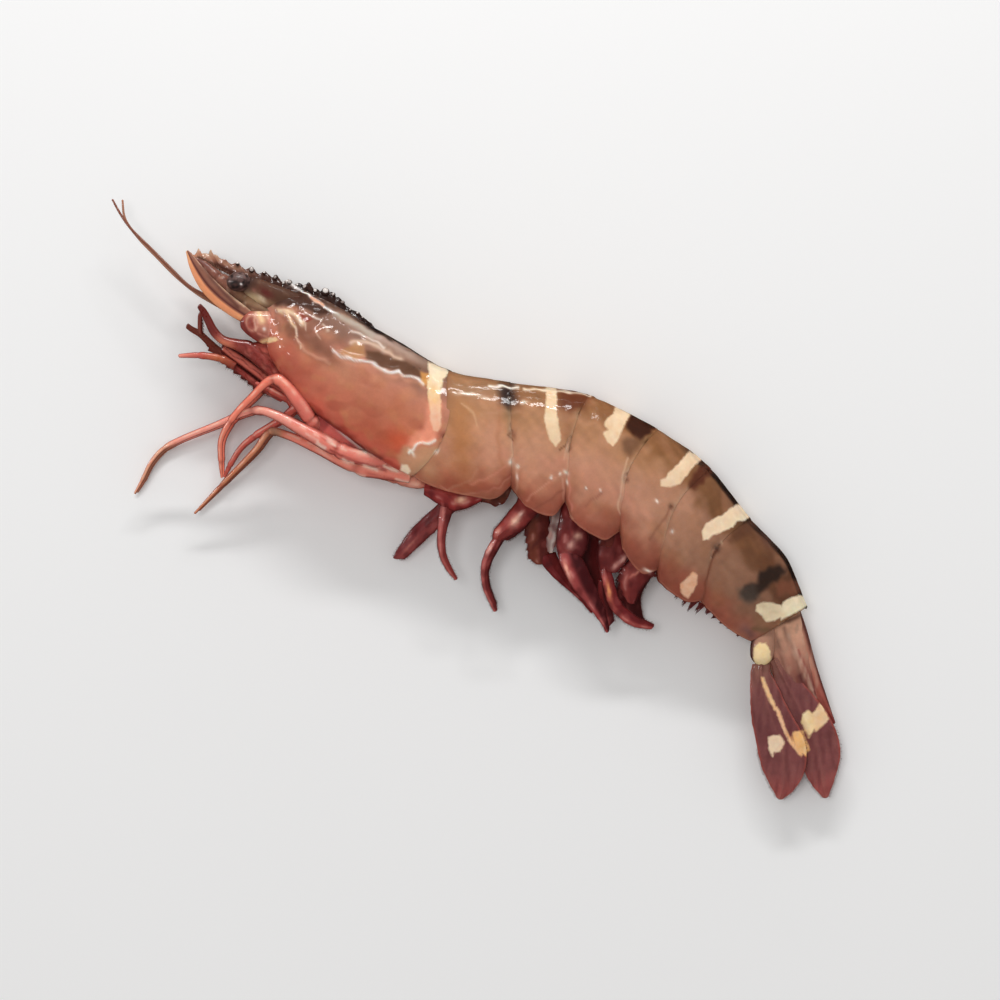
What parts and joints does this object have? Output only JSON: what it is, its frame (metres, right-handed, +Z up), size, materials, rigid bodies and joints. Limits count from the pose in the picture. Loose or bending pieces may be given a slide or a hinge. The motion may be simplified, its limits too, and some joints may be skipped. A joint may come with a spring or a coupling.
{
  "type": "raw tiger prawn",
  "caption": "Whole raw tiger prawn in its shell, lying on its right side: toothed rostrum, banded bent abdomen, folded walking legs, swimming legs and a half-open tail fan.",
  "frame": {"origin": "middle of the bounding box, on the surface that the prawn lies on", "axes": "+X towards the tail, +Y towards the back, +Z up from the surface, which is the animal's left side"},
  "size_m": [0.1572, 0.1299, 0.0205],
  "materials": {
    "head_shell": "wet translucent shell, pinkish brown at the side, dark brown along the crest, pale rear edge",
    "body_shell": "wet translucent shell, tan to grey-brown, with cream and dark bands",
    "feeler": "wet shell, salmon to brown, orange at the edge of the antennal scale",
    "mouth": "wet dark red shell with short hairs",
    "leg": "wet salmon pink shell",
    "swimmeret": "wet crimson shell with cream spots",
    "tail": "wet maroon shell with yellow and cream patches",
    "eye": "glossy black"
  },
  "bodies": {
    "root": {"carapace": "head_shell", "abdomen_1": "body_shell", "abdomen_2": "body_shell", "abdomen_3": "body_shell", "abdomen_4": "body_shell", "abdomen_5": "body_shell", "abdomen_6": "body_shell", "eye_left": "eye", "eye_right": "eye", "antennule_left": "feeler", "antennule_right": "feeler", "antenna_base_left": "feeler", "antenna_base_right": "feeler", "antennal_scale_left": "feeler", "antennal_scale_right": "feeler", "antenna_left": "feeler", "antenna_right": "feeler", "mouthparts": "mouth", "maxilliped_left": "mouth", "maxilliped_right": "mouth", "palp": "leg", "sternum": "leg", "leg_left_1": "leg", "leg_left_2": "leg", "leg_left_3": "leg", "leg_left_4": "leg", "leg_left_5": "leg", "leg_right_1": "leg", "leg_right_2": "leg", "leg_right_3": "leg", "leg_right_4": "leg", "leg_right_5": "leg", "pleopod_left_1": "swimmeret", "pleopod_left_2": "swimmeret", "pleopod_left_3": "swimmeret", "pleopod_left_4": "swimmeret", "pleopod_left_5": "swimmeret", "pleopod_right_1": "swimmeret", "pleopod_right_2": "swimmeret", "pleopod_right_3": "swimmeret", "pleopod_right_4": "swimmeret", "pleopod_right_5": "swimmeret", "telson": "tail", "uropod_base_left": "tail", "uropod_base_right": "tail", "uropod_outer_left": "tail", "uropod_outer_right": "tail", "uropod_inner_left": "tail", "uropod_inner_right": "tail"}
  },
  "joints": []
}
